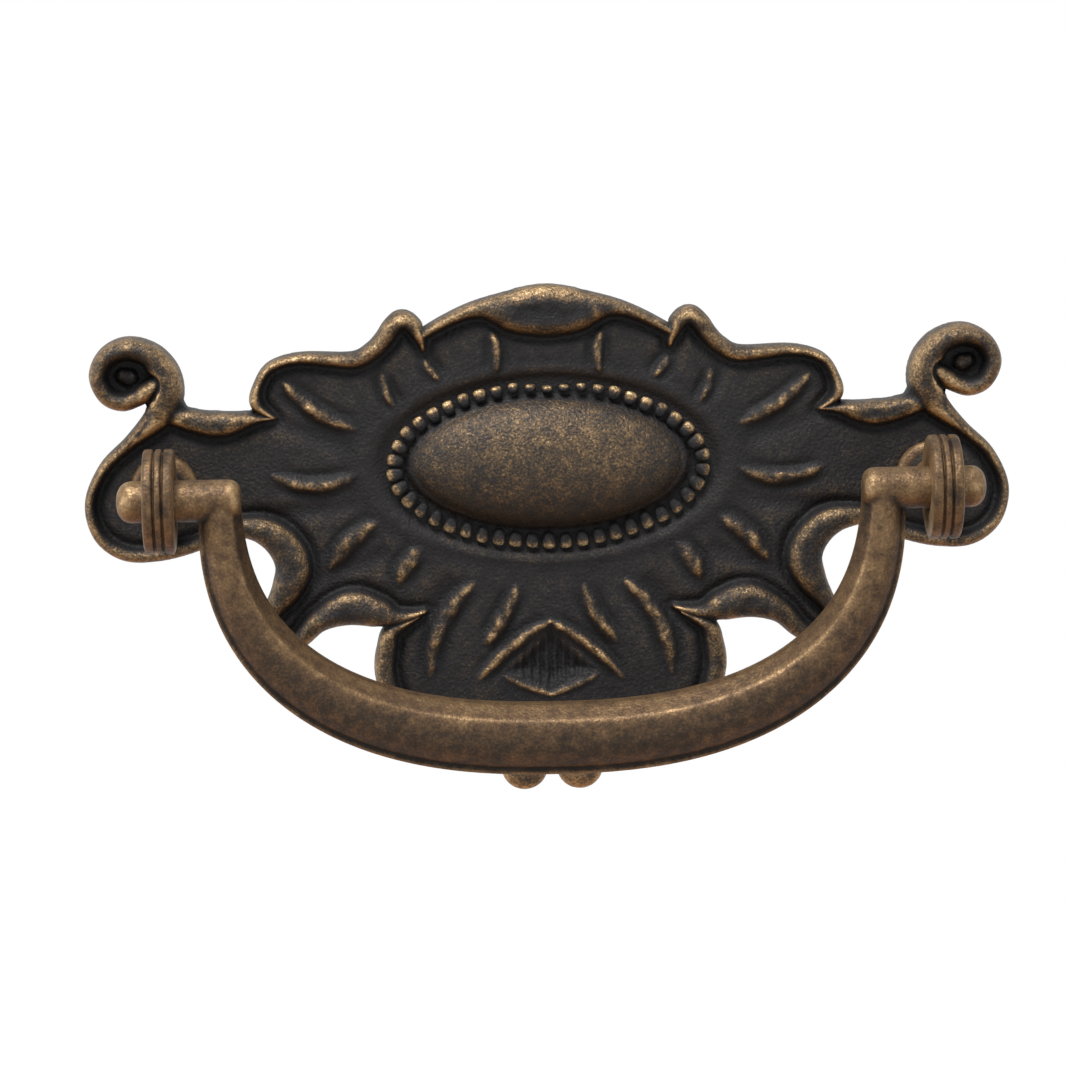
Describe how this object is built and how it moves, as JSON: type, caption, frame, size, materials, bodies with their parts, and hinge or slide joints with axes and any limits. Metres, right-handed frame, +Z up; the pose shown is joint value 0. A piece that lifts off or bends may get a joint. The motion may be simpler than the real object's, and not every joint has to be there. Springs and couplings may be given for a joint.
{
  "type": "drop pull",
  "caption": "Ornate cast drop pull for a drawer or cabinet door: a scrolled backplate with a beaded medallion, and a bail that swings in ridged eye posts.",
  "frame": {"origin": "on the drawer's face, which is the backplate's back plane, midway between the two mounting posts", "axes": "+X along the plate from the left post to the right post, +Y back into the drawer front, +Z up, with the bail hanging straight down"},
  "size_m": [0.0924, 0.0171, 0.0508],
  "materials": {
    "plate_brass": "antiqued brass, dark patina in the recesses and worn highlights",
    "fitting_brass": "antiqued brass, rubbed brown"
  },
  "bodies": {
    "plate": {"backplate": "plate_brass", "left_eye_post": "fitting_brass", "right_eye_post": "fitting_brass"},
    "bail": {"bail": "fitting_brass"}
  },
  "joints": [
    {"name": "bail_swing", "type": "hinge", "parent": "plate", "child": "bail", "pos_m": [0, -0.012, 0], "axis": [-1, 0, 0], "range_deg": [-12, 202]}
  ]
}
